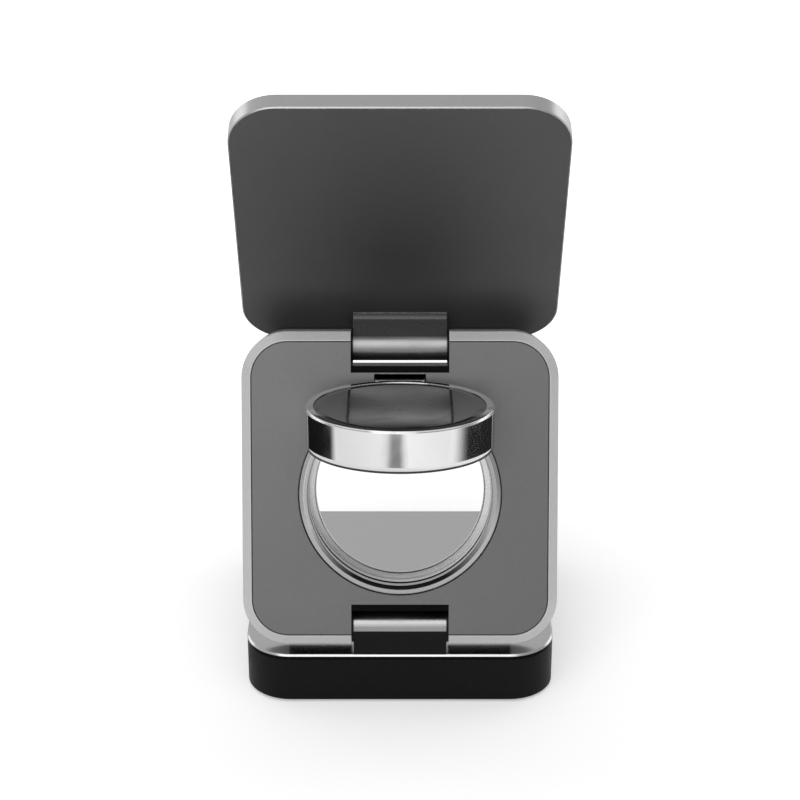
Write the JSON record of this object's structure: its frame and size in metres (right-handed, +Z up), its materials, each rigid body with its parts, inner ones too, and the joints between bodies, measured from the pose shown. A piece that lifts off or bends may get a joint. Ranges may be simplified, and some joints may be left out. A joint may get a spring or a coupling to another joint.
{
  "type": "foldable three-in-one wireless charger",
  "caption": "Z-folding wireless charging stand: flat earbud base, leaning middle plate with a flip-out watch puck in a ring, and a tilting magnetic phone panel.",
  "frame": {"origin": "centre of the rubber foot's underside, below the middle of the base", "axes": "+X to the right across the plates, +Y from the lower hinge towards the base's far edge, +Z up"},
  "size_m": [0.065, 0.0892, 0.1314],
  "materials": {
    "grey_metal": "satin anodised",
    "polished_metal": "polished",
    "light_plate": "fine satin",
    "dark_sheet": "satin",
    "mid_panel": "satin",
    "black_gloss": "gloss",
    "black_plastic": "fine matt",
    "soft_rubber": "matt",
    "steel": "plain",
    "bronze": "plain",
    "copper_wire": "varnished",
    "ferrite": "matt",
    "board": "solder mask",
    "orange_film": "film",
    "hinge_gloss": "gloss"
  },
  "bodies": {
    "base": {"base_tray": "black_gloss", "base_plate": "light_plate", "rubber_foot": "soft_rubber", "ballast_plate": "steel", "base_board": "board", "board_parts": "black_plastic", "power_inlet": "steel", "inlet_tongue": "black_plastic", "earbud_coil": "copper_wire", "earbud_ferrite": "ferrite", "base_screws": "steel", "lower_hinge_block": "hinge_gloss", "lower_hinge_pin": "steel", "lower_block_screws": "steel"},
    "middle": {"middle_frame": "grey_metal", "near_panel": "mid_panel", "far_panel": "mid_panel", "ring_bezel": "polished_metal", "puck_hinge_pin": "steel", "flex_lead": "orange_film", "watch_board": "board", "lower_hinge_bushes": "bronze", "upper_hinge_bushes": "bronze"},
    "puck": {"puck_shell": "polished_metal", "puck_face": "black_gloss", "watch_coil": "copper_wire", "watch_ferrite": "ferrite", "watch_magnet": "steel"},
    "phone_panel": {"upper_hinge_block": "hinge_gloss", "upper_hinge_pin": "steel", "upper_block_screws": "steel", "phone_frame": "grey_metal", "back_sheet": "dark_sheet", "phone_cover": "dark_sheet", "phone_disc": "black_plastic", "disc_pad": "soft_rubber", "magnet_ring": "steel", "phone_coil": "copper_wire", "phone_ferrite": "ferrite", "phone_board": "board"}
  },
  "joints": [
    {"name": "middle_tilt", "type": "hinge", "parent": "base", "child": "middle", "pos_m": [0, -0.02925, 0.0172], "axis": [1, 0, 0], "range_deg": [-67.2, 19.6]},
    {"name": "phone_tilt", "type": "hinge", "parent": "middle", "child": "phone_panel", "pos_m": [0, -0.00969, 0.07212], "axis": [1, 0, 0], "range_deg": [0, 133.5]},
    {"name": "puck_flip", "type": "hinge", "parent": "middle", "child": "puck", "pos_m": [0, -0.01521, 0.06602], "axis": [1, 0, 0], "range_deg": [0, 79.4]}
  ],
  "couplings": [
    {"joint": "puck_flip", "follows": "phone_tilt", "ratio": 0.5947}
  ]
}
